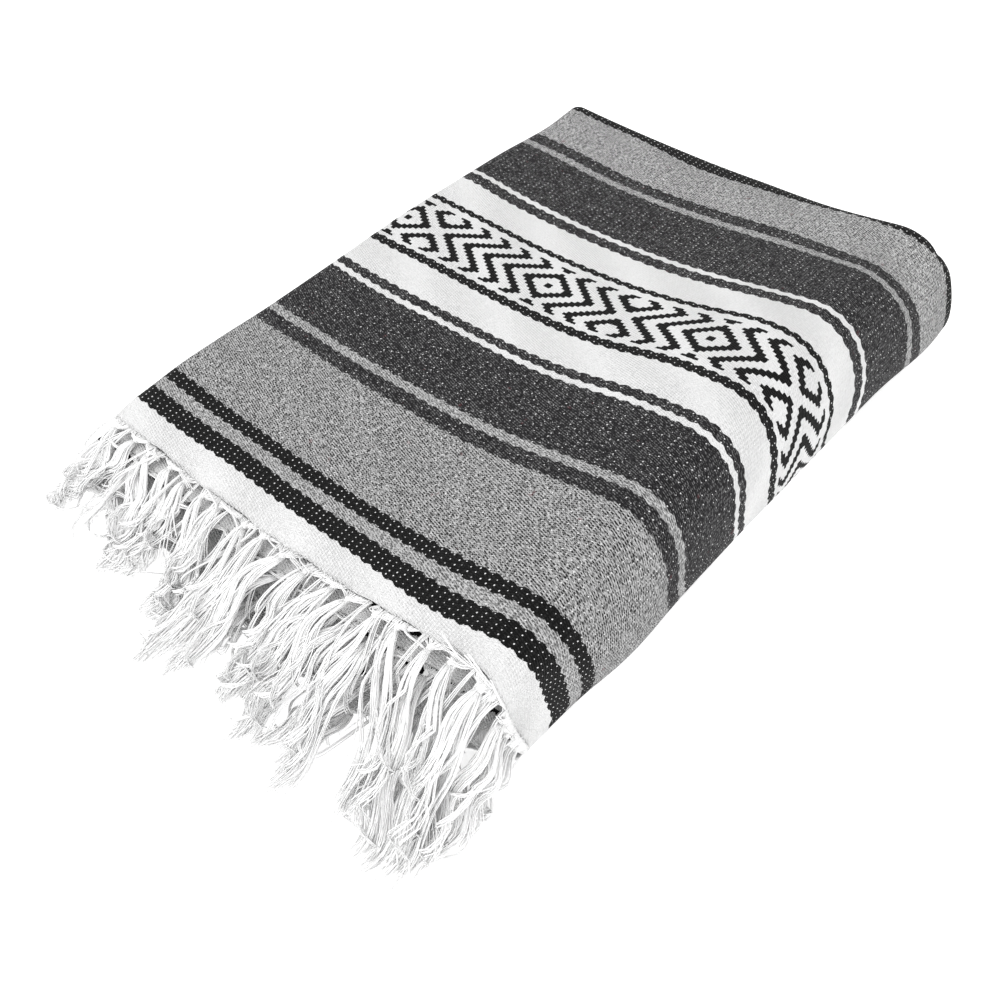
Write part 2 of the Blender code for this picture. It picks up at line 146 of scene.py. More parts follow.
# Where the stripes wander from straight lines, as soft bumps
WANDERS = table(
    "run depth length width height heading",
    (0.56, 0.7, 0.084, 0.08, -0.034, 0), (0.56, 0.77, 0.05, 0.03, -0.006, 0),
    (0.42, 0.775, 0.09, 0.03, -0.013, 0), (0.7, 0.772, 0.055, 0.035, -0.032, 0),
    (0.26, 0.775, 0.08, 0.03, -0.015, 0), (0.09, 0.775, 0.06, 0.03, -0.002, 0),
    (0.68, 0.69, 0.03, 0.08, -0.007, 0), (0.69, 0.51, 0.028, 0.075, -0.012, 0),
    (0.675, 0.35, 0.036, 0.08, -0.009, 0), (0.69, 0.2, 0.03, 0.06, -0.009, 0),
    (0.63, 0.64, 0.035, 0.08, 0.01, 0), (0.53, 0.68, 0.05, 0.05, 0.006, 0),
    (0.22, 0.69, 0.13, 0.055, -0.008, 0), (0.7, 0.42, 0.035, 0.13, -0.008, 0),
    (0.48, 0.42, 0.085, 0.15, 0.0125, 0), (0.51, 0.51, 0.04, 0.035, 0.006, 0),
    (0.22, 0.5, 0.1, 0.03, -0.003, 0), (0.65, 0.39, 0.05, 0.05, -0.004, 0),
    (0.15, 0.24, 0.09, 0.06, -0.004, 0), (0.12, 0.32, 0.075, 0.03, -0.005, 0),
    (0.5, 0.21, 0.1, 0.06, 0.004, 0), (0.58, 0.23, 0.08, 0.05, 0.004, 0),
    (0.3, 0.03, 0.18, 0.025, 0.003, 0), (0.5, 0.02, 0.09, 0.05, -0.009, 0),
    (0.03, 0.4, 0.07, 0.12, -0.007, 0), (0.04, 0.56, 0.06, 0.03, 0.007, 0),
    (0.19, 0.04, 0.06, 0.05, 0.003, 0), (0.05, 0.21, 0.05, 0.06, -0.004, 0),
)
# The band of diamonds: "phase" counts zigzag lines along the weft. It is whole at a diamond's middle,
# rises to each crossing and falls to the next diamond.
BAND_MIDDLE = 0.4455
BAND_HALF = 0.0395
BAND_MIRROR = 0.0293  # from here outwards the zigzags turn back
BAND_RISE = 0.0231  # depth of one zigzag line
BAND_ROW = 0.004  # height of the steps in the zigzags' edges
BAND_INK = 0.225  # half the share of a line that is black
BAND_STEPPED = 0.9  # how stepped those edges are, and how frayed
BAND_FRAY = 0.07
BORDER_FRAY = 0.002
DIAMONDS = table(
    "run phase",
    (-0.03, 2), (0.037, 0), (0.088, 1.5), (0.27, -4), (0.378, -0.5), (0.487, -4),
    (0.607, -0.5), (0.724, -4), (0.84, -0.5), (0.957, -4), (1.073, -0.5), (1.19, -4),
    (1.307, -0.5), (1.424, -4),
)

# Soft troughs and swells in the top. Headings are in degrees from the weft.
SWELLS = table(
    "run depth length width height heading",
    (0.56, 0.7, 0.08, 0.05, -0.0045, 10), (0.47, 0.43, 0.12, 0.06, 0.0022, -20),
    (0.3, 0.6, 0.16, 0.035, -0.002, 25), (0.18, 0.36, 0.15, 0.04, -0.0016, -12),
    (0.36, 0.18, 0.15, 0.035, -0.0018, 20), (0.08, 0.14, 0.07, 0.03, 0.0025, 60),
    (0.1, 0.68, 0.08, 0.04, 0.0022, 40), (0.52, 0.1, 0.1, 0.03, 0.0022, 35),
    (0.69, 0.3, 0.12, 0.035, -0.003, 80), (0.68, 0.56, 0.09, 0.035, 0.0025, 85),
    (0.68, 0.38, 0.4, 0.06, 0.0115, 90), (0.7, 0.725, 0.08, 0.07, 0.011, 90),
    (0.68, 0.14, 0.07, 0.05, 0.0065, 90), (0.72, 0.14, 0.06, 0.05, 0.002, 90),
    (0.72, 0.072, 0.04, 0.045, -0.0035, 90), (0.68, 0.01, 0.042, 0.055, -0.015, 90),
)
EDGE_WAVES = table(
    "depth out",
    (-0.06, 0), (0, 0.003), (0.08, 0.0035), (0.15, -0.0015), (0.22, -0.0085), (0.31, -0.01),
    (0.42, -0.004), (0.52, -0.002), (0.64, 0.002), (0.72, 0.001), (0.785, 0.008), (0.9, 0.008),
)

# The layers' fringed ends: where the stripes of each stop, and how high it lies there and at its edge,
# as shares of the top layer's height. "slant" is how much further back the front lies per metre of x.
LAYERS = table(
    "name front slant heading share edge_share left first pitch count shorter",
    ("fringe_top", TOP_FRONT, 0, HEADING, 1, 1, 0, 0.02, 0.032, 18, 0.004),
    ("fringe_second", SECOND_FRONT, 0, 0.024, 0.79, 0.75, 0.012, 0.034, 0.0315, 17, 0.006),
    ("fringe_third", -0.025, 0.05, 0.028, 0.4, 0.33, -0.006, 0.022, 0.035, 16, 0.01),
    ("fringe_bottom", BOTTOM_FRONT, 0, HEADING, 0, 0, 0, 0.04, 0.038, 14, 0.006),
)
STRIP_RIGHT = 0.566
END_HIDDEN = 0.018  # how much of a middle layer's end lies behind its heading
END_LEVEL = 0.0072  # from here forwards it slopes down
END_CURVE = 1.5
END_RIPPLE = 0.0012
END_WALL = 0.0025
END_COLUMNS = 120
END_ROWS = 22
INNER_STEPS = 60
INNER_CLOSER = 2.2  # the inner cloth's columns are closer together towards the fold
INNER_ROWS = 62
INNER_BACK = BACK - 0.002
INNER_WALL = 0.002
LIP = 0.004  # depth over which a step's edge rounds off
FOOT = 0.0008  # how far the lowest step's foot stands forward
INNER_WHITE = 0.01  # more of the inner layers' ends is white than of the top layer's
BACK_WALL = (  # share of the height, how far in, and how far down the cloth has come
    (0.97, 0.001, 0.006), (0.88, 0.006, 0.022), (0.74, 0.014, 0.046), (0.58, 0.021, 0.07),
    (0.4, 0.027, 0.098), (0.22, 0.031, 0.126), (0.02, 0.033, 0.156),
)
STEP_EDGE = 0.01
STEP_BULGE = 0.003
SELVAGE_RISE = 0.1
SELVAGES = table(
    "height out",
    (0.02, 0.012), (0.12, 0.006), (0.38, 0.006), (0.48, 0.011), (0.52, 0.011), (0.62, 0.004),
    (0.88, 0.004), (0.98, 0.01),
)

# The tassels. Those nearest a "root", an x along the heading, draw together to a tip on the floor.
TIPS = table(
    "root x y",
    (0, -0.03, -0.066), (0.034, 0.034, -0.1), (0.082, 0.15, -0.124), (0.132, 0.16, -0.108),
    (0.2, 0.221, -0.124), (0.255, 0.262, -0.156), (0.305, 0.29, -0.148), (0.365, 0.352, -0.13),
    (0.4, 0.386, -0.151), (0.43, 0.43, -0.144), (0.449, 0.454, -0.17), (0.466, 0.53, -0.13),
    (0.498, 0.562, -0.152), (0.532, 0.606, -0.13), (0.565, 0.604, -0.092), (0.6, 0.622, -0.06),
)
FOLD_TASSELS = table(
    "run tip_x tip_y",
    (0.588, 0.588, -0.136), (0.612, 0.604, -0.126), (0.636, 0.612, -0.108),
    (0.66, 0.62, -0.084), (0.684, 0.622, -0.062), (0.708, 0.618, -0.036),
)
GATHER = 0.2  # how much of its place along the heading a tassel keeps at its tip
PULL = 0.45  # how far a lower layer's tassels are drawn together at their roots
PULL_FROM_TO = (0.3, 0.36)  # x over which the pull drops to this share of itself:
PULL_RIGHT = 0.3
FRINGE_SEED = 11
CLUMP_SEED = 40  # tassels with the same tip share a wave
THREAD_RADIUS = 0.0007
THREAD_SIDES = 3
THREAD_STEPS = 15

# What the seeded draws choose between. A pair is a range, a single number a spread or a limit.
ROOT_STRAY = 0.003
TIP_ASIDE = 0.004
TIP_BACK = (-0.008, 0.018)
TIP_HEIGHT = 0.003
SHORTEST = 0.04
SLOW_WAVE = ((0.3, 1.0), (0.8, 1.6), (0, 6.28))  # size, swings and phase
FAST_WAVE = ((0.2, 0.5), (1.0, 2.2), (0, 6.28))

# A knot, and the warp ends that run to it from the heading
DIP = 3.0  # how steeply a tassel starts down, by its height above DIP_FROM
DIP_FROM = 0.035
KNOT_REACH = (0.005, 0.011)
KNOT_ASIDE = (-0.007, 0.006)
KNOT_SINKS = 0.001
KNOT_LOWEST = 0.0068
KNOT_SIZE = (0.0034, 0.0044)
KNOT_LOOPS = 2
LOOP_TILT = 1.3
LOOP_PLACE = (-0.0012, 0.0014)
LOOP_THREAD = 0.001
GATHERED = 18  # warp ends to a knot
GATHER_SPAN = 0.018
LEAN = (-0.004, 0.012)
WARP_MIDDLE = (0.35, 0.75)
WARP_BEND = 0.003
WARP_RISE = (0.0, 0.002)
WARP_AT_KNOT = 0.0024
WARP_HEIGHT = (-0.0018, 0.0022)
WARP_POINTS = 6

# The course from a knot to the tip, and the locks of threads along it
OUTWARDS = 0.02
OUT_BY_HEIGHT = 0.26
OUT_VARIES = (0.7, 1.2)
COURSE_LEAN = 0.3
COURSE_RISE = (0.0, 0.004)
COURSE_END = (0.15, 0.42, 0.0)
START_ASIDE = 0.005
END_ASIDE = 0.007
STEEP = 0.7  # past this, a tassel spreads along x
LOCKS = 5
LOCK_THREADS = 8
LOCK_SIDE = (0.6, 1.2)
LOCK_SPREAD = (0.006, 0.013)
LOCK_HIGH = (-0.4, 1.0)
HIGH = 0.0028
LOCK_LENGTH = (0.88, 1.06)
LOCK_RADIUS = 0.002
LOCK_WIDENS = 0.001
FAN_START = 0.0018
FAN_OPENS = 3.5
FAN_CLOSES = 0.7
CURLED = 0.22  # share of the locks with a curl
CURL = (0.006, 0.013)
CURL_FROM = (0.25, 0.6)
CURL_LENGTH = 0.34
THREAD_LENGTH = (0.93, 1.03)
THREAD_LOWEST = 0.001
THREAD_HEAP = 0.0014
FLYING = 0.12  # share of the threads that leave their lock
FLY = 0.014
WAVES = (0.011, 0.0055, 0.0016)  # sideways, of a clump, a lock and a thread
LOCK_RISE = 0.0026  # the same up and down
THREAD_RISE = 0.0008

# Wisps of stray threads beside a knot: one lies along the heading's edge, the others hang
STRAYS = 3
STRAY_POINTS = 12
STRAY_SPAN = 0.018
STRAY_LIFT = 0.001
STRAY_LOWEST = 0.0012
STRAY_START = 0.008
STRAY_END = 0.012
START_RISE = (-0.001, 0.004)
END_RISE = (0.004, 0.018)
LYING_ALONG = (0.015, 0.04)
LYING_OUT = (0.003, 0.014)
LYING_DROP = (0.0, 0.006)
LYING_BULGE = (0.004, 0.016)
HANGING_ALONG = 0.018
HANGING_OUT = (0.035, 0.07)
HANGING_DROP = (0.35, 0.75)
HANGING_BULGE = (0.014, 0.03)
WISP = 4  # threads in one
WISP_ALONG = 0.0015
WISP_OUT = 0.0008
WISP_OPENS = (0.6, 1.6)

# The camera, at the photograph's angle
CAMERA_AT = (0.6751, -0.739, 1.1236)
CAMERA_AZIMUTH = 43.7063
CAMERA_ELEVATION = 51.442
CAMERA_ROLL = 2.44
CAMERA_LENS = 46.95
LIGHTS = table(
    "name at aim size power",
    ("key", (-0.9, -1.0, 2.4), (0, 0, 0.1), 2.0, 16.0),
    ("front", (-0.3, -2.3, 0.9), (0, -0.3, 0.05), 2.4, 13.0),
    ("fill", (1.9, -1.0, 1.2), (0, 0, 0.1), 2.4, 12.0),
)
FLOOR = 12.0


def smooth_through(knots, values, where):
    """A monotone cubic through the knots, read at the places in where."""
    knots = np.asarray(knots, float)
    values = np.asarray(values, float)
    span = np.diff(knots)
    slope = np.diff(values) / span
    tangent = np.concatenate([[slope[0]], np.zeros(len(slope) - 1), [slope[-1]]])
    for i in range(1, len(slope)):
        before, after = slope[i - 1], slope[i]
        if before * after > 0:
            near = 2 * span[i] + span[i - 1]
            far = span[i] + 2 * span[i - 1]
            tangent[i] = (near + far) / (near / before + far / after)
    where = np.clip(where, knots[0], knots[-1])
    i = np.clip(np.searchsorted(knots, where, side="right") - 1, 0, len(span) - 1)
    t = (where - knots[i]) / span[i]
    start = (1 + 2 * t) * (1 - t) ** 2 * values[i] + t * (1 - t) ** 2 * span[i] * tangent[i]
    end = t * t * (3 - 2 * t) * values[i + 1] - t * t * (1 - t) * span[i] * tangent[i + 1]
    return start + end


def column(rows, name):
    return [getattr(row, name) for row in rows]


def read(rows, name, where):
    """A table's column at the places in where, through its first column."""
    return smooth_through([row[0] for row in rows], column(rows, name), where)


def eased(run, start):
    """From 0 to 1 over EASE_LENGTH from the start, softly."""
    share = np.clip((run - start) / EASE_LENGTH, 0, 1)
    return share * share * (3 - 2 * share)


def ripple(run, waves):
    return sum(size * np.sin(run * rate + phase) for size, rate, phase in waves)


def bow(run):
    """How far back the stripes lie at a run, from the front corner on the left."""
    under = np.clip((CLOTH_END - run) / (CLOTH_END - BOW_PEAK), 0, 1) * (BOW_PEAK - BOW_START)
    over = np.clip(run - BOW_START, 0, BOW_PEAK - BOW_START)
    return BOW * (np.where(run < BOW_PEAK, over, under) / BOW_RUN) ** 2


def raw_outline(depth):
    """The outline at a depth: run, x and z, from the selvage round the fold to the underside."""
    knots = [row.run - FOLD_DRIFT * max(depth, 0) * row.drifts for row in TURNS]
    run = np.linspace(0, knots[-1], OUTLINE_POINTS)
    angle = np.radians(smooth_through(knots, column(TURNS, "angle"), run))
    step = run[1] - run[0]
    slopes = (np.cos(angle), np.sin(angle))
    x, z = (np.append(0, np.cumsum(slope[1:] + slope[:-1]) * step / 2) for slope in slopes)
    left = read(HEIGHTS, "left", depth)
    crest = read(HEIGHTS, "crest", depth)
    top = np.argmax(z)
    level = np.interp(LEVEL_RUN, run, z)
    climb = left + (z - level) * (crest - left) / (z[top] - level)
    fall = crest * (z - z[-1]) / (z[top] - z[-1])
    z = np.where(np.arange(len(z)) <= top, climb, fall)
    return run, x - x.min(), z


def cloth_end():
    run, x, _ = raw_outline(0.0)
    return run[-1] + x[-1] - UNDER_LEFT


CLOTH_END = cloth_end()


def whole_outline(depth):
    """The outline and the underside."""
    ends = (CLOTH_END, UNDER_LEFT, 0.0)
    return [np.append(values, end) for values, end in zip(raw_outline(depth), ends)]


def outline(depth, where):
    """Points and outward normals of the outer face at a depth, at the runs in where."""
    run, x, z = whole_outline(depth)
    normal_x = -np.gradient(z, run)
    normal_z = np.gradient(x, run)
    normal_x[-2:] = 0.0
    normal_z[-2:] = -1.0
    length = np.hypot(normal_x, normal_z)
    points = np.stack([np.interp(where, run, values) for values in (x, z)], 1)
    normals = [np.interp(where, run, values / length) for values in (normal_x, normal_z)]
    normals = np.stack(normals, 1)
    return points, normals / np.linalg.norm(normals, axis=1)[:, None]


def front_depth(run):
    """Depth of the outer half's striped edge: the top layer's, easing to the bottom layer's."""
    return TOP_FRONT + (BOTTOM_FRONT - TOP_FRONT) * eased(run, OUTER_EASE)


def inner_front(run):
    """Depth of the inner half's striped edge: the second layer's, easing to the third's in its fold."""
    second, third = LAYERS[1].front, LAYERS[2].front
    return second + (third - second) * eased(run, INNER_EASE)


def back_depth(run):
    """Depth at which the outer half starts to turn down at the back."""
    return np.interp(run, (0.0, BACK_RUN), (BACK_LEFT, BACK)) - read(TRIMS, "forward", run)


def form_at(depths, grid, depth):
    """x, z and the normal's x, z of a grid of outlines, at a depth for each of its runs."""
    columns = range(len(depth))
    return np.array([[np.interp(depth[i], depths, grid[:, i, k]) for i in columns] for k in range(4)])


def placed(x, depth, run, z):
    """Points in the model's frame, as rows of x, y, z."""
    x = x + SKEW * depth - CENTRE.x
    y = depth + bow(run) - CENTRE.y
    return np.stack(np.broadcast_arrays(x, y, z), -1)


def bumps(rows, run, depth):
    """The sum of a table's soft bumps. A heading is the direction of a bump's length."""
    total = np.zeros(np.broadcast(run, depth).shape)
    for row in rows:
        c, d = math.cos(math.radians(row.heading)), math.sin(math.radians(row.heading))
        along = (run - row.run) * c + (depth - row.depth) * d
        across = (depth - row.depth) * c - (run - row.run) * d
        total = total + row.height * np.exp(-(along / row.length) ** 2 - (across / row.width) ** 2)
    return total


def weave_at(runs, cloth):
    """What the weave reads at each point: its run, its depth among the stripes, the band's phase."""
    phase = np.interp(runs, column(DIAMONDS, "run"), column(DIAMONDS, "phase"))
    return np.stack([runs, cloth - bumps(WANDERS, runs, cloth), phase], -1)


def linked(name, data):
    added = bpy.data.objects.new(name, data)
    bpy.context.scene.collection.objects.link(added)
    return added


def mesh_object(name, verts, faces, material):
    mesh = bpy.data.meshes.new(name)
    mesh.from_pydata([tuple(v) for v in verts], [], faces)
    mesh.shade_smooth()
    mesh.materials.append(material)
    mesh.update()
    return linked(name, mesh)


def grid_faces(rows, columns):
    faces = []
    for r in range(rows - 1):
        for c in range(columns - 1):
            a = r * columns + c
            faces.append((a, a + 1, a + columns + 1, a + columns))
    return faces


def cloth_object(name, rows, weave, material, thickness):
    """A sheet of cloth through rows of points, with what weave_at gives for each."""
    points = np.array(rows)
    faces = grid_faces(*points.shape[:2])
    piece = mesh_object(name, points.reshape(-1, 3), faces, material)
    attribute = piece.data.attributes.new("weave", "FLOAT_VECTOR", "POINT")
    attribute.data.foreach_set("vector", np.array(weave, np.float32).ravel())
    solid = piece.modifiers.new("cloth", "SOLIDIFY")
    solid.thickness = thickness
    solid.offset = -1.0
    solid.use_even_offset = False
    return piece


def main_runs():
    """The runs of the outer cloth's columns, closer together where it bends."""
    runs = [0.0]
    for end, points in ((0.05, 14), (0.50, 88), (0.82, 76), (CLOTH_END, 40)):
        runs.extend(np.linspace(runs[-1], end, points)[1:])
    return np.array(runs)


def heading_width(run):
    """The top heading, and how it spreads at the near corner of the fold."""
    off = (run - CORNER_RUN) / CORNER_REACH
    return HEADING + CORNER_SPREAD * np.exp(-off ** 2)


def outer_cloth(material):
    """The half that shows: heading, top, outer fold, underside and the folds at the back."""
    runs = main_runs()
    depths = np.linspace(*FORM_DEPTHS)
    grid = np.array([np.hstack(outline(depth, runs)) for depth in depths])
    front = front_depth(runs)
    heading = heading_width(runs)
    start = front - HEADING_GAP - heading
    stop = back_depth(runs)
    left = np.clip(1 - runs / EDGE_REACH, 0, 1) ** 2
    rows, weave = [], []
    for i in range(OUTER_ROWS + 1):
        depth = start + (stop - start) * i / OUTER_ROWS
        x, z, nx, nz = form_at(depths, grid, depth)
        lift = bumps(SWELLS, runs, depth) * np.clip(z / RELIEF_HEIGHT, 0, 1)
        # the heading's free edge hangs a little
        free = np.clip(1 - (depth - start) / heading, 0, 1) * np.clip(z / SAG_HEIGHT, 0, 1)
        sag = free ** SAG_CURVE * (SAG + ripple(runs, SAG_WAVES))
        edge = read(EDGE_WAVES, "out", depth) * left
        points = placed(x + nx * lift - edge, depth, runs, np.maximum(z + nz * lift - sag, 0.0))
        points[:, 1] += free * ripple(runs, HEM_WAVES)
        rows.append(points)
        weave.append(weave_at(runs, depth - front + TOP_FRONT))
    x, z, nx, nz = form_at(depths, grid, stop)
    radius = read(PAIRS, "thickness", runs) / 2
    for i in range(1, BACK_ROWS + 1):
        turn = math.radians(BACK_TURN) * i / BACK_ROWS
        off = lift - radius * (1 - math.cos(turn))
        points = placed(x + nx * off - edge, stop, runs, np.maximum(z + nz * off, 0.0))
        points[:, 1] += radius * math.sin(turn)
        rows.append(points)
        weave.append(weave_at(runs, stop + radius * turn - front + TOP_FRONT))
    return cloth_object("outer_cloth", rows, weave, material, WALL)


def runs_at(across, depth=TOP_FRONT, below=False):
    """The runs at which the top, or the underside, reaches an x."""
    run, x, _ = whole_outline(depth)
    widest = np.argmax(x)
    if below:
        return np.interp(across, x[widest:][::-1], run[widest:][::-1])
    return np.interp(across, x[:widest + 1], run[:widest + 1])


def inner_runs(depth):
    """Runs over the top, from INNER_START to the widest place, and back along those below them."""
    run, x, _ = raw_outline(depth)
    start = np.interp(INNER_START, run, x)
    share = 1 - (1 - np.linspace(0, 1, INNER_STEPS)) ** INNER_CLOSER
    across = start + (x.max() - start) * share
    return np.concatenate([runs_at(across, depth), runs_at(across, depth, below=True)[-2::-1]])


def inner_row(depth, share, width, left, fall=0.0):
    """A row of the inner cloth, from the second layer's edge round the fold to the third's.

    "share" is its height as a share of the hollow's, "left" where it starts, and "fall" how far the
    cloth has come down the back."""
    low = WALL + CLEAR
    runs = inner_runs(depth)
    points, normals = outline(depth, runs)
    points = points - normals * low
    points[:, 1] = low + (np.maximum(points[:, 1], low) - low) * share
    points[:, 0] = left + points[:, 0] * (width - left / BOW_RUN)
    top = outline(depth, np.array([0.0]))[0][0][1] - WALL - GAP
    rise = (top - low) * min(share + SELVAGE_RISE, 1.0)
    edges = []
    for height, out in SELVAGES:
        edge = out if left == 0 else left + STEP_EDGE + STEP_BULGE * (2 * height - 1) ** 2
        edges.append((edge, low + rise * height))
    half = len(edges) // 2
    section = np.concatenate([edges[half:], points, edges[:half]])
    edge_runs = np.full(half, BOW_START)
    bow_runs = np.concatenate([edge_runs, runs, edge_runs])
    cloth_runs = np.concatenate([edge_runs, runs, np.full(half, CLOTH_END)])
    cloth = depth - inner_front(cloth_runs) + TOP_FRONT - INNER_WHITE + fall
    return placed(section[:, 0], depth, bow_runs, section[:, 1]), weave_at(cloth_runs, cloth)


def inner_cloth(material):
    """The hidden half, stepped at the fringe where the second and third layers end."""
    narrow = INNER_WIDTH - 0.01
    stations = [
        (THIRD_FRONT - FOOT, 0.02, narrow, 0.012),
        (THIRD_FRONT, THIRD_SHARE * 0.90, narrow, 0.012),
        (THIRD_FRONT + LIP, THIRD_SHARE * 0.94, INNER_WIDTH, 0.012),
        (SECOND_FRONT, THIRD_SHARE * 0.96, INNER_WIDTH, 0.012),
        (SECOND_FRONT + GAP, SECOND_SHARE * 0.90, narrow, 0.014),
        (SECOND_FRONT + LIP, SECOND_SHARE * 0.94, INNER_WIDTH, 0.014),
        (TOP_FRONT, 0.93, 0.96, 0.005),
    ]
    stations += [(depth, 1.0, 1.0, 0.0) for depth in np.linspace(TOP_FRONT, INNER_BACK, INNER_ROWS)[1:]]
    stations += [(INNER_BACK - inward, share, 1.0, 0.0, fall) for share, inward, fall in BACK_WALL]
    rows, weave = zip(*(inner_row(*station) for station in stations))
    return cloth_object("inner_cloth", rows, weave, material, INNER_WALL)


FRONT_RUNS = np.linspace(0.0, 0.80, 161)
FRONT_Z = outline(TOP_FRONT, FRONT_RUNS)[0][:, 1]


def step_height(x, share):
    """Height of a middle layer's surface at an x."""
    low = WALL + CLEAR
    top = np.interp(runs_at(x / INNER_WIDTH), FRONT_RUNS, FRONT_Z)
    return low + (top - 2 * low) * share


def layer_end(name, layer, material):
    """The end of a middle layer: its first stripes and its heading, over the step below it."""
    across = np.linspace(layer.left, STRIP_RIGHT, END_COLUMNS)
    runs = runs_at(across / INNER_WIDTH)
    front = layer.front + layer.slant * across
    rows, weave = [], []
    for back in np.linspace(-layer.heading, END_HIDDEN, END_ROWS):
        out = np.clip((END_LEVEL - back) / (layer.heading + END_LEVEL), 0, 1)
        share = layer.share + (layer.edge_share - layer.share) * out ** END_CURVE
        z = step_height(across, share) + END_RIPPLE * np.sin(across * 140 + back * 60) * out
        rows.append(placed(across, front + back, runs, z))
        weave.append(weave_at(runs, back + TOP_FRONT + np.zeros_like(across)))
    return cloth_object(name, rows, weave, material, END_WALL)


class Threads:
    """One mesh made of many tubes."""

    def __init__(self):
        self.verts = []
        self.faces = []

    def tube(self, path, radii, sides=THREAD_SIDES):
        tangent = np.gradient(path, axis=0)
        tangent /= np.linalg.norm(tangent, axis=1)[:, None]
        side = np.cross(tangent, (0.0, 0.0, 1.0))
        upright = np.linalg.norm(side, axis=1) < 0.05
        side[upright] = (1.0, 0.0, 0.0)
        side /= np.linalg.norm(side, axis=1)[:, None]
        up = np.cross(side, tangent)
        first = len(self.verts)
        for k in range(len(path)):
            for s in range(sides):
                turn = 2 * math.pi * (s + 0.5) / sides
                self.verts.append(path[k] + (side[k] * math.cos(turn) + up[k] * math.sin(turn)) * radii[k])
        for k in range(len(path) - 1):
            for s in range(sides):
                a = first + k * sides + s
                b = first + k * sides + (s + 1) % sides
                self.faces.append((a, b, b + sides, a + sides))
        self.faces.append(tuple(first + s for s in reversed(range(sides))))
        last = first + (len(path) - 1) * sides
        self.faces.append(tuple(last + s for s in range(sides)))

    def bulb(self, centre, axis, length, radius):
        """A knot's body: a short spindle."""
        share = np.linspace(-1, 1, 7)
        path = centre + np.outer(share, axis * length)
        self.tube(path, radius * np.sqrt(np.maximum(1 - share ** 2, 0.08)), 8)

    def ring(self, centre, normal, radius, thickness, wobble):
        """A thread's loop round a knot."""
        first = np.cross(normal, (0.3, 0.2, 1.0))
        first /= np.linalg.norm(first)
        second = np.cross(normal, first)
        turn = np.linspace(0, 2 * math.pi, 13)
        path = centre + radius * (np.outer(np.cos(turn), first) + np.outer(np.sin(turn), second))
        path = path + np.outer(np.sin(2 * turn + wobble), normal) * thickness * 0.6
        self.tube(path, np.full(len(turn), thickness), 6)


def bezier(points, t):
    """A cubic curve at the places in t."""
    a, b, c, d = points
    t = t[:, None]
    return a * (1 - t) ** 3 + 3 * b * t * (1 - t) ** 2 + 3 * c * t * t * (1 - t) + d * t ** 3


def heading_edge(layer, where):
    """A point of a heading's outer edge, before the model is centred: by run on top, by x below."""
    x = run = where
    if layer.share == 1.0:
        depth = front_depth(run) - HEADING_GAP - heading_width(run)
        points, normals = outline(depth, np.array([run]))
        x, z = points[0] - normals[0] * WALL / 2
        z = z - SAG * np.clip(z / SAG_HEIGHT, 0, 1)
    elif layer.share == 0.0:
        run = runs_at(x, below=True)
        depth = front_depth(run) - HEADING_GAP - HEADING
        z = WALL / 2
    else:
        run = runs_at(x / INNER_WIDTH)
        depth = layer.front + layer.slant * x - layer.heading
        z = step_height(x, layer.edge_share) - WALL / 2
    return np.array((x + SKEW * depth, depth + bow(run), z))


def nearest_tip(x):
    return min(range(len(TIPS)), key=lambda i: abs(TIPS[i].root - x))


def tip_of(x, layer, rng):
    """Where on the floor a tassel rooted at an x ends."""
    near = TIPS[nearest_tip(x)]
    tip_x = near.x + GATHER * (x - near.root) + rng.gauss(0, TIP_ASIDE)
    return tip_x, near.y + layer.shorter + rng.uniform(*TIP_BACK)


def draw_waves(rng):
    """A slow and a fast wave: a size, a count of half or whole swings, and a phase for each."""
    return [[rng.uniform(*bounds) for bounds in ranges] for ranges in (SLOW_WAVE, FAST_WAVE)]


def wave(t, size, slow, fast):
    """A slow and a fast swing to the side, from nothing at the knot."""
    swing = slow[0] * np.sin(math.pi * slow[1] * t + slow[2])
    swing = swing + fast[0] * np.sin(2 * math.pi * fast[1] * t + fast[2])
    return np.clip(t * 2.5, 0, 1) * size * swing


def upwards(z):
    return np.array((0.0, 0.0, z))


def add_strays(threads, layer, where, along, rng):
    """Wisps of loose threads over the heading's edge and the knots. The first lies along the edge."""
    out = np.array((0.0, -1.0, 0.0))
    for k in range(STRAYS):
        start = heading_edge(layer, where + rng.uniform(-STRAY_SPAN, STRAY_SPAN)) + upwards(STRAY_LIFT)
        if k == 0:
            end = start + along * rng.choice((-1, 1)) * rng.uniform(*LYING_ALONG)
            end = end + out * rng.uniform(*LYING_OUT) - upwards(rng.uniform(*LYING_DROP))
            bulge = rng.uniform(*LYING_BULGE)
        else:
            drop = start[2] * rng.uniform(*HANGING_DROP)
            end = start + along * rng.gauss(0, HANGING_ALONG) + out * rng.uniform(*HANGING_OUT)
            end = end - upwards(drop)
            bulge = rng.uniform(*HANGING_BULGE)
        first = start + out * bulge + along * rng.gauss(0, STRAY_START) + upwards(rng.uniform(*START_RISE))
        second = end + along * rng.gauss(0, STRAY_END) + upwards(rng.uniform(*END_RISE))
        path = bezier((start, first, second, end), np.linspace(0, 1, STRAY_POINTS))
        for _ in range(WISP):
            beside = along * rng.gauss(0, WISP_ALONG) + out * rng.gauss(0, WISP_OUT)
            beside = beside + upwards(rng.gauss(0, WISP_OUT))
            loose = path + np.outer(np.linspace(*WISP_OPENS, STRAY_POINTS), beside)
            loose[:, 2] = np.maximum(loose[:, 2], STRAY_LOWEST)
            threads.tube(loose, np.full(STRAY_POINTS, THREAD_RADIUS * 0.95))


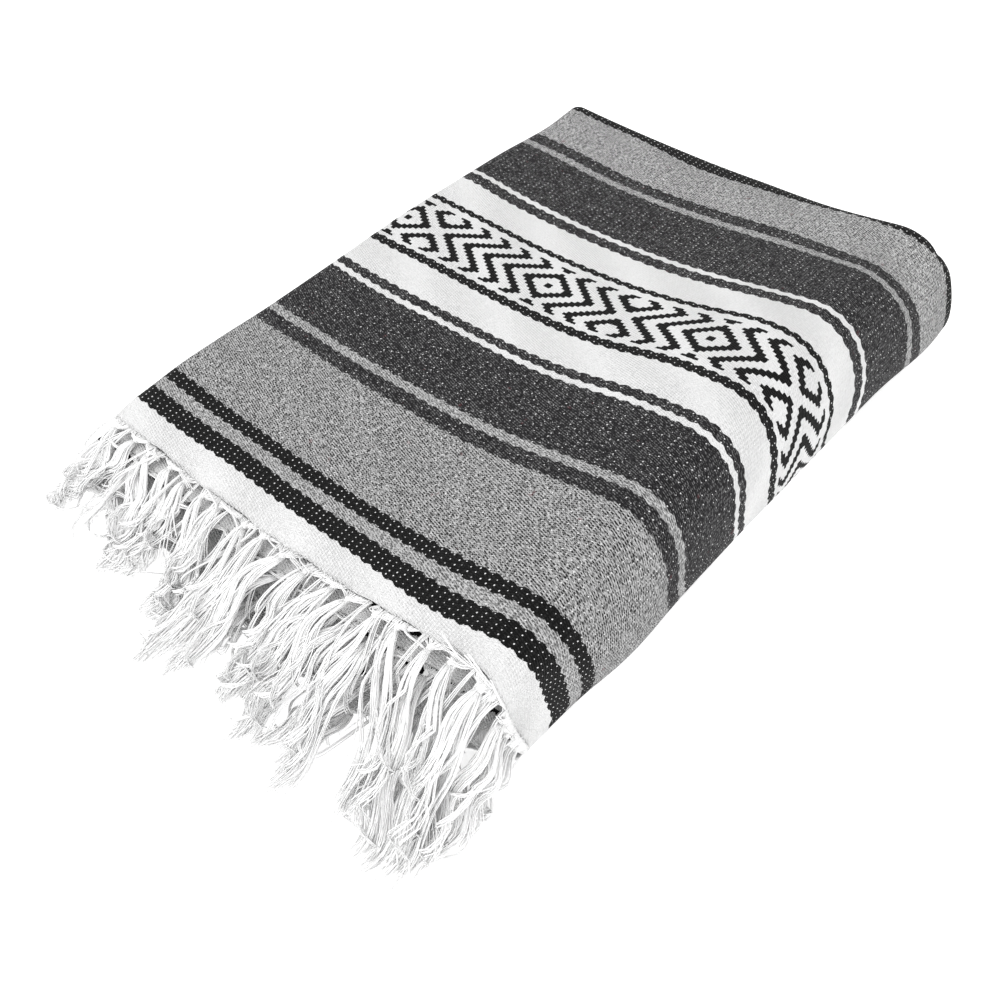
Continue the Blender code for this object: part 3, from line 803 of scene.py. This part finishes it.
def add_lock(threads, course, side, flat, whole, rng):
    """Part of a tassel: threads that stay together, in their own waves and now and then a curl."""
    spread = rng.uniform(*LOCK_SPREAD)
    high = rng.uniform(*LOCK_HIGH)
    own = draw_waves(rng)
    length = rng.uniform(*LOCK_LENGTH)
    curl = rng.uniform(*CURL) * rng.choice((-1, 1)) if rng.random() < CURLED else 0.0
    curl_from = rng.uniform(*CURL_FROM)
    for _ in range(LOCK_THREADS):
        t = np.linspace(0, 1, THREAD_STEPS + 1) * length * rng.uniform(*THREAD_LENGTH)
        turn = rng.uniform(0, 2 * math.pi)
        radius = math.sqrt(rng.random())
        tight = LOCK_RADIUS + LOCK_WIDENS * t
        loose = draw_waves(rng)
        fly = rng.gauss(0, FLY) if rng.random() < FLYING else 0.0
        fan = FAN_START + spread * np.minimum(t * FAN_OPENS, 1.0) * (1 - FAN_CLOSES * t)
        across = side * fan + radius * math.cos(turn) * tight
        for size, swings in zip(WAVES, (whole, own, loose)):
            across = across + wave(t, size, *swings)
        across = across + fly * t ** 2
        rise = radius * math.sin(turn) * tight + high * HIGH * np.minimum(t * 4, 1.0)
        rise = rise + np.abs(wave(t, LOCK_RISE, *own[::-1])) + wave(t, THREAD_RISE, *loose[::-1])
        path = bezier(course, t)
        loop = 2 * math.pi * np.clip((t - curl_from) / CURL_LENGTH, 0, 1)
        across = across + curl * np.sin(loop)
        path[:, 1] -= abs(curl) * (1 - np.cos(loop))
        path = path + np.outer(across, flat)
        lowest = THREAD_LOWEST + THREAD_HEAP * rng.random()
        path[:, 2] = np.maximum(path[:, 2] + rise, lowest)
        threads.tube(path, THREAD_RADIUS * np.linspace(1.0, 0.8, THREAD_STEPS + 1))


def add_warp_ends(threads, layer, where, knot, ahead, along, reach, rng):
    """The warp ends between a heading and a knot, slanting to it."""
    lean = rng.uniform(*LEAN)
    for k in range(GATHERED):
        share = (k + 0.5 + rng.uniform(-0.3, 0.3)) / GATHERED * 2 - 1
        start = heading_edge(layer, where + share * GATHER_SPAN + lean)
        middle = start + ahead * reach * rng.uniform(*WARP_MIDDLE) - along * share * WARP_BEND
        middle[2] += rng.uniform(*WARP_RISE)
        end = knot + along * share * WARP_AT_KNOT + upwards(rng.uniform(*WARP_HEIGHT))
        t = np.linspace(0, 1, WARP_POINTS)[:, None]
        path = start * (1 - t) ** 2 + 2 * middle * t * (1 - t) + end * t ** 2
        threads.tube(path, np.full(WARP_POINTS, THREAD_RADIUS))


def add_tassel(threads, layer, where, rng, tip=None):
    """Gathers a heading's warp ends into a knot, and lets them fall in wavy locks."""
    root = heading_edge(layer, where)
    beside = heading_edge(layer, where + 0.004)
    along = (beside - root) / np.linalg.norm(beside - root)
    dip = DIP * max(root[2] - DIP_FROM, 0.0)
    ahead = np.array((0.0, -1.0, -dip)) / math.hypot(1.0, dip)
    reach = rng.uniform(*KNOT_REACH)
    knot = root + ahead * reach + along * rng.uniform(*KNOT_ASIDE)
    knot[2] = max(knot[2] - KNOT_SINKS, KNOT_LOWEST)
    add_warp_ends(threads, layer, where, knot, ahead, along, reach, rng)

    # the knot
    size = rng.uniform(*KNOT_SIZE)
    threads.bulb(knot, ahead, size * 1.2, size * 0.8)
    for _ in range(KNOT_LOOPS):
        normal = ahead + along * rng.uniform(-LOOP_TILT, LOOP_TILT)
        spot = knot + ahead * rng.uniform(*LOOP_PLACE)
        normal = normal / np.linalg.norm(normal)
        threads.ring(spot, normal, size * 0.78, LOOP_THREAD, rng.uniform(0, 6))
    add_strays(threads, layer, where, along, rng)

    # the locks: outwards, down, and over the floor to the tip
    start = knot + ahead * size * 0.6
    if tip is None:
        tip = tip_of(start[0], layer, rng)
    tip = np.array((tip[0], min(tip[1], start[1] - SHORTEST), TIP_HEIGHT))
    over = OUTWARDS + OUT_BY_HEIGHT * start[2] * rng.uniform(*OUT_VARIES)
    aside = COURSE_LEAN * (tip[0] - start[0]) + rng.gauss(0, START_ASIDE)
    first = start + (aside, -over, rng.uniform(*COURSE_RISE))
    second = tip + (start - tip) * COURSE_END + (rng.gauss(0, END_ASIDE), 0, 0)
    flat = along * (1, 1, 0) if abs(along[2]) < STEEP else np.array((1.0, 0.0, 0.0))
    flat = flat / np.linalg.norm(flat)
    whole = draw_waves(random.Random(CLUMP_SEED + nearest_tip(start[0])))  # shared with those beside it
    for lock in range(LOCKS):
        side = (lock / (LOCKS - 1) * 2 - 1) * rng.uniform(*LOCK_SIDE)
        add_lock(threads, (start, first, second, tip), side, flat, whole, rng)


def fringe(layer, material, seed):
    """A layer's tassels, as one piece."""
    rng = random.Random(seed)
    threads = Threads()
    for i in range(layer.count):
        where = layer.first + layer.pitch * i + rng.uniform(-ROOT_STRAY, ROOT_STRAY)
        if layer.share < 1.0:
            pull = PULL * np.interp(where, PULL_FROM_TO, (1.0, PULL_RIGHT))
            where += pull * (TIPS[nearest_tip(where)].root - where)
        add_tassel(threads, layer, runs_at(where) if layer.share == 1.0 else where, rng)
    if layer.share == 1.0:
        for tassel in FOLD_TASSELS:
            add_tassel(threads, layer, tassel.run, rng, tassel[1:])
    verts = np.array(threads.verts) - np.array(CENTRE)
    return mesh_object("tassels_" + layer.name.split("_")[1], verts, threads.faces, material)


class Graph:
    """Short calls for a material's nodes."""

    def __init__(self, name):
        self.material = bpy.data.materials.new(name)
        self.material.use_nodes = True
        self.tree = self.material.node_tree
        self.tree.nodes.clear()

    def feed(self, socket, value):
        if isinstance(value, bpy.types.NodeSocket):
            self.tree.links.new(value, socket)
        else:
            socket.default_value = value

    def node(self, kind, *values, **settings):
        """A node with these settings, and the values or links of its first sockets."""
        node = self.tree.nodes.new("ShaderNode" + kind)
        for key, value in settings.items():
            setattr(node, key, value)
        for socket, value in zip(node.inputs, values):
            self.feed(socket, value)
        return node

    def named(self, kind, sockets):
        """A node with the values or links of the sockets named."""
        node = self.node(kind)
        for name, value in sockets.items():
            self.feed(node.inputs[name], value)
        return node.outputs[0]

    def math(self, operation, *values):
        return self.node("Math", *values, operation=operation).outputs[0]

    add = partialmethod(math, "ADD")
    sub = partialmethod(math, "SUBTRACT")
    mul = partialmethod(math, "MULTIPLY")
    muladd = partialmethod(math, "MULTIPLY_ADD")
    div = partialmethod(math, "DIVIDE")
    abs = partialmethod(math, "ABSOLUTE")

    def smooth(self, value, low, high, to_low=0.0, to_high=1.0):
        values = (value, low, high, to_low, to_high)
        return self.node("MapRange", *values, interpolation_type="SMOOTHSTEP").outputs[0]

    def vector(self, *values):
        return self.node("CombineXYZ", *values).outputs[0]

    def split(self, value, kind="Color"):
        return self.node("Separate" + kind, value).outputs

    def mix(self, factor, first, second, blend="MIX"):
        node = self.node("Mix", factor, data_type="RGBA", blend_type=blend)
        self.feed(node.inputs[6], first)
        self.feed(node.inputs[7], second)
        return node.outputs[2]

    def noise(self, vector, scale, detail, roughness=0.5):
        sockets = {"Vector": vector, "Scale": scale, "Detail": detail, "Roughness": roughness}
        return self.named("TexNoise", sockets)

    def ramp(self, value, stops, interpolation):
        """stops are positions from 0 to 1 with a colour each."""
        node = self.node("ValToRGB", value)
        node.color_ramp.interpolation = interpolation
        elements = node.color_ramp.elements
        while len(elements) < len(stops):
            elements.new(1.0)
        for element, (position, color) in zip(elements, stops):
            element.position = position
            element.color = (*color, 1.0)
        return node.outputs[0]

    def bump(self, height, strength, distance):
        return self.named("Bump", {"Strength": strength, "Distance": distance, "Height": height})

    def surface(self, sockets):
        """Ends the material in a Principled shader with these sockets."""
        self.node("OutputMaterial", self.named("BsdfPrincipled", sockets))
        return self.material


def grey(value):
    return (value, value, value, 1.0)


COLUMN = 0.00835  # between columns of white warp dots, along the weft
DOT_ROW = 0.0053  # between dots in a column
SCALLOP = 0.0167  # length of the scallops in the stripes' edges
SCALLOP_DEPTH = 0.00256
SCALLOP_LEVEL = 0.55
FRAY_SCALE = 420.0
FRAY = 0.0016
SLANT = math.radians(-17)  # of the picks, from the weft
PICK_ROW = 0.0026
PICK, DOT = table(
    "length width slant jitter",
    (0.0020, 0.0009, SLANT, 0.12), (0.0009, 0.0008, math.radians(60), 0.12),
)
SPOT_CORE = 0.45  # share of a spot that is solid
FLECK_SCALE = 820.0
FLECK_STRETCH = 0.32
STREAK_STRETCH = 0.22
STREAK = (0.34, 0.66, 0.35, 1.65)
STREAK_MOST = 0.75
# From which to which value of a draw or a noise each of these shows
RIDGES_SHOWN = (0.10, 0.60)
PITS_SHOWN = (0.00, 0.45)
LIGHT_LOOSE = (0.62, 0.71)
DARK_LOOSE = (0.39, 0.31)
FURROW_SHADE_SHOWN = (0.64, 0.44)
RED_SHOWN = (0.70, 0.75)
RED_SCALE = 60.0
RED_STRENGTH = 0.35
FURROW_SHADE_PLAIN = 0.07  # how dark the painted shade in the furrows is in plain yarn, and how much more in a heathered one
FURROW_SHADE_HEATHERED = 0.28
LIGHT_FLECK = grey(0.62)
DARK_FLECK = grey(0.008)
RED_FLECK = (0.16, 0.02, 0.03, 1.0)
WARP_DOT = grey(0.88)
THREAD_SHADE = grey(0.90)
THREAD_WHITE = grey(0.97)


def lattice_spot(g, run, depth, column_width, row_height, shift, spot):
    """Spots in staggered columns: how much a point lies in one, and that one's draw from 0 to 1."""
    across = g.div(run, column_width)
    which = g.math("FLOOR", across)
    stagger = g.muladd(g.math("MODULO", which, 2.0), 0.5, shift)
    along = g.add(g.div(depth, row_height), stagger)
    cell = g.vector(which, g.math("FLOOR", along), shift * 8)
    luck = g.node("TexWhiteNoise", cell, noise_dimensions="3D")
    draws = g.split(luck.outputs["Color"])
    off = []
    for place, draw, size in ((across, draws[0], column_width), (along, draws[1], row_height)):
        middle = g.muladd(draw, 2 * spot.jitter, 0.5 - spot.jitter)
        off.append(g.mul(g.sub(g.math("FRACT", place), middle), size))
    x, y = off
    c, d = math.cos(spot.slant), math.sin(spot.slant)
    p = g.add(g.mul(x, c / spot.length), g.mul(y, d / spot.length))
    q = g.sub(g.mul(y, c / spot.width), g.mul(x, d / spot.width))
    far = g.math("SQRT", g.add(g.mul(p, p), g.mul(q, q)))
    size = g.muladd(luck.outputs[0], 0.6, 0.7)
    return g.smooth(far, size, g.mul(size, SPOT_CORE)), draws[2]


def edge_push(g, run, depth, fray):
    """How far a stripe's edge moves: scallops, outwards from the darker stripe, and fray."""
    signs = []
    for below, above in zip(STRIPES, STRIPES[1:]):
        dark_below = sum(YARNS[below.yarn].color) < sum(YARNS[above.yarn].color)
        signs.append((above.depth - STRIPES_FROM, (1.0, 0.0, 0.0) if dark_below else (0.0, 1.0, 0.0)))
    edge = g.split(g.ramp(g.sub(depth, STRIPES_FROM), signs, "LINEAR"))
    angle = g.mul(run, math.pi / SCALLOP)
    upper = g.sub(g.abs(g.math("SINE", angle)), SCALLOP_LEVEL)
    lower = g.sub(g.abs(g.math("COSINE", angle)), SCALLOP_LEVEL)
    push = g.sub(g.mul(upper, edge[0]), g.mul(lower, edge[1]))
    return g.add(g.mul(push, SCALLOP_DEPTH), g.mul(fray, FRAY))


def diamond_ink(g, depth, phase, fray):
    """Where the band of diamonds is black."""
    off = g.abs(g.sub(depth, BAND_MIDDLE))
    stepped = g.mul(g.add(g.math("FLOOR", g.div(off, BAND_ROW)), 0.5), BAND_ROW)
    mostly_stepped = g.add(g.mul(stepped, BAND_STEPPED), g.mul(off, 1 - BAND_STEPPED))
    height = g.sub(BAND_MIRROR, g.abs(g.sub(mostly_stepped, BAND_MIRROR)))
    line = g.add(phase, g.div(height, BAND_RISE))
    line = g.add(line, g.mul(fray, BAND_FRAY))
    ink = g.math("LESS_THAN", g.math("PINGPONG", line, 0.5), BAND_INK)
    return g.mul(ink, g.math("LESS_THAN", g.add(off, g.mul(fray, BORDER_FRAY)), BAND_HALF))


def striped_material():
    g = Graph("striped_weave")
    attribute = g.node("Attribute", attribute_name="weave")
    run, depth, phase = g.split(attribute.outputs["Vector"], "XYZ")
    fray = g.sub(g.noise(g.vector(run, depth), FRAY_SCALE, 1.0), 0.5)
    edged = g.sub(g.sub(depth, edge_push(g, run, depth, fray)), STRIPES_FROM)
    colors = [(s.depth - STRIPES_FROM, YARNS[s.yarn].color) for s in STRIPES]
    yarns = [(s.depth - STRIPES_FROM, YARNS[s.yarn][1:]) for s in STRIPES]
    color = g.ramp(edged, colors, "CONSTANT")
    light_flecks, dark_flecks, dots = g.split(g.ramp(edged, yarns, "CONSTANT"))
    ink = diamond_ink(g, depth, phase, fray)
    color = g.mix(ink, color, (*YARNS["black"].color, 1.0))

    # slanted picks of heathered yarn: flecks in the weave's own rows, and loose ones between
    c, d = math.cos(SLANT), math.sin(SLANT)
    u = g.add(g.mul(run, c), g.mul(depth, d))
    v = g.sub(g.mul(depth, c), g.mul(run, d))
    fleck = g.noise(g.vector(g.mul(u, FLECK_STRETCH), v), FLECK_SCALE, 1.0)
    streak = g.noise(g.vector(g.mul(u, STREAK_STRETCH), v), FLECK_SCALE, 0.0)
    pit, pit_luck = lattice_spot(g, run, depth, COLUMN / 2, DOT_ROW / 2, 0.25, PICK)
    ridge, ridge_luck = lattice_spot(g, run, depth, COLUMN / 2, DOT_ROW / 2, 0.75, PICK)
    shade = g.smooth(streak, *STREAK)
    shade = g.muladd(g.sub(shade, 1.0), g.math("MINIMUM", dark_flecks, STREAK_MOST), 1.0)
    color = g.mix(1.0, color, g.vector(shade, shade, shade), "MULTIPLY")
    in_rows = g.mul(ridge, g.smooth(ridge_luck, *RIDGES_SHOWN))
    light = g.math("MAXIMUM", in_rows, g.smooth(fleck, *LIGHT_LOOSE))
    in_rows = g.mul(pit, g.smooth(pit_luck, *PITS_SHOWN))
    dark = g.math("MAXIMUM", in_rows, g.smooth(fleck, *DARK_LOOSE))
    color = g.mix(g.mul(light, light_flecks), color, LIGHT_FLECK)
    color = g.mix(g.mul(dark, dark_flecks), color, DARK_FLECK)
    red = g.mul(g.smooth(g.noise(g.vector(u, v), RED_SCALE, 2.0), *RED_SHOWN), dark_flecks)
    color = g.mix(g.mul(red, RED_STRENGTH), color, RED_FLECK)

    # white warp dots, in staggered columns: all show in the black yarn, some in the others
    dot, dot_luck = lattice_spot(g, run, depth, COLUMN, DOT_ROW, 0.0, DOT)
    shown = g.smooth(g.add(dot_luck, dots), 0.95, 1.05)
    color = g.mix(g.mul(g.mul(shown, dot), g.sub(1.0, ink)), color, WARP_DOT)

    # painted shade in the furrows between the picks, and the relief of picks, ribs and flecks
    pick = g.math("SINE", g.muladd(v, 2 * math.pi / PICK_ROW, g.mul(fleck, 2.0)))
    # painted shade: where the picks dip and the fleck noise shows, the colour goes towards black in the
    # furrows
    furrow_shade = g.mul(g.smooth(pick, 0.0, -1.0), g.smooth(fleck, *FURROW_SHADE_SHOWN))
    furrow_shade_strength = g.muladd(dark_flecks, FURROW_SHADE_HEATHERED, FURROW_SHADE_PLAIN)
    color = g.mix(g.mul(furrow_shade, furrow_shade_strength), color, grey(0.0))
    rib = g.abs(g.math("SINE", g.mul(run, math.pi / COLUMN)))
    height = g.add(g.mul(fleck, 0.9), g.mul(pick, 0.30))
    height = g.add(height, g.mul(rib, 0.30))
    height = g.add(height, g.sub(g.mul(ridge, 0.5), g.mul(pit, 0.5)))
    return g.surface({
        "Base Color": color,
        "Roughness": 0.92,
        "Specular IOR Level": 0.10,
        "Sheen Weight": 0.05,
        "Normal": g.bump(height, 0.8, 0.0012),
    })


def thread_material():
    g = Graph("fringe_yarn")
    place = g.node("TexCoord").outputs["Object"]
    tone = g.noise(place, 260.0, 3.0, 0.6)
    return g.surface({
        "Base Color": g.mix(g.smooth(tone, 0.3, 0.7), THREAD_SHADE, THREAD_WHITE),
        "Roughness": 0.9,
        "Specular IOR Level": 0.2,
        "Sheen Weight": 0.2,
        "Normal": g.bump(g.noise(place, 1400.0, 2.0), 0.3, 0.0006),
    })


def rotation(degrees, axis):
    return Matrix.Rotation(math.radians(degrees), 4, axis)


def add_camera():
    data = bpy.data.cameras.new("camera")
    data.lens = CAMERA_LENS
    data.sensor_width = 36.0
    camera = linked("camera", data)
    aim = rotation(CAMERA_AZIMUTH, "Z") @ rotation(90 - CAMERA_ELEVATION, "X")
    aim = aim @ rotation(CAMERA_ROLL, "Z")
    camera.matrix_world = Matrix.Translation(CAMERA_AT) @ aim
    bpy.context.scene.camera = camera


def add_studio():
    bpy.context.scene.view_settings.view_transform = "Standard"
    world = bpy.data.worlds.new("studio")
    bpy.context.scene.world = world
    world.use_nodes = True
    world.node_tree.nodes["Background"].inputs[0].default_value = grey(1.0)
    for light in LIGHTS:
        data = bpy.data.lights.new(light.name, "AREA")
        data.size = light.size
        data.energy = light.power
        lamp = linked(light.name, data)
        lamp.location = light.at
        lamp.rotation_euler = (Vector(light.aim) - Vector(light.at)).to_track_quat("-Z", "Y").to_euler()
    material = Graph("floor").surface({
        "Base Color": grey(0.78),
        "Emission Color": grey(1.0),
        "Emission Strength": 0.60,
        "Roughness": 1.0,
        "Specular IOR Level": 0.0,
    })
    corners = [(x * FLOOR, y * FLOOR, 0) for x, y in ((-1, -1), (1, -1), (1, 1), (-1, 1))]
    floor = mesh_object("floor", corners, [(0, 1, 2, 3)], material)


def main():
    add_camera()
    add_studio()
    striped = striped_material()
    cloth = outer_cloth(striped)
    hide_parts("outer_half")
    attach(cloth, "root")
    inner = inner_cloth(striped)
    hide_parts("inner_layers")
    ends = [
        layer_end("second_end", LAYERS[1], striped),
        layer_end("third_end", LAYERS[2], striped),
    ]
    white = thread_material()
    tassels = [fringe(layer, white, FRINGE_SEED + i) for i, layer in enumerate(LAYERS)]
    for piece, layer in zip(tassels, LAYERS):
        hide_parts(layer.name)
    for piece in (inner, *ends, *tassels):
        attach(piece, "root")


main()
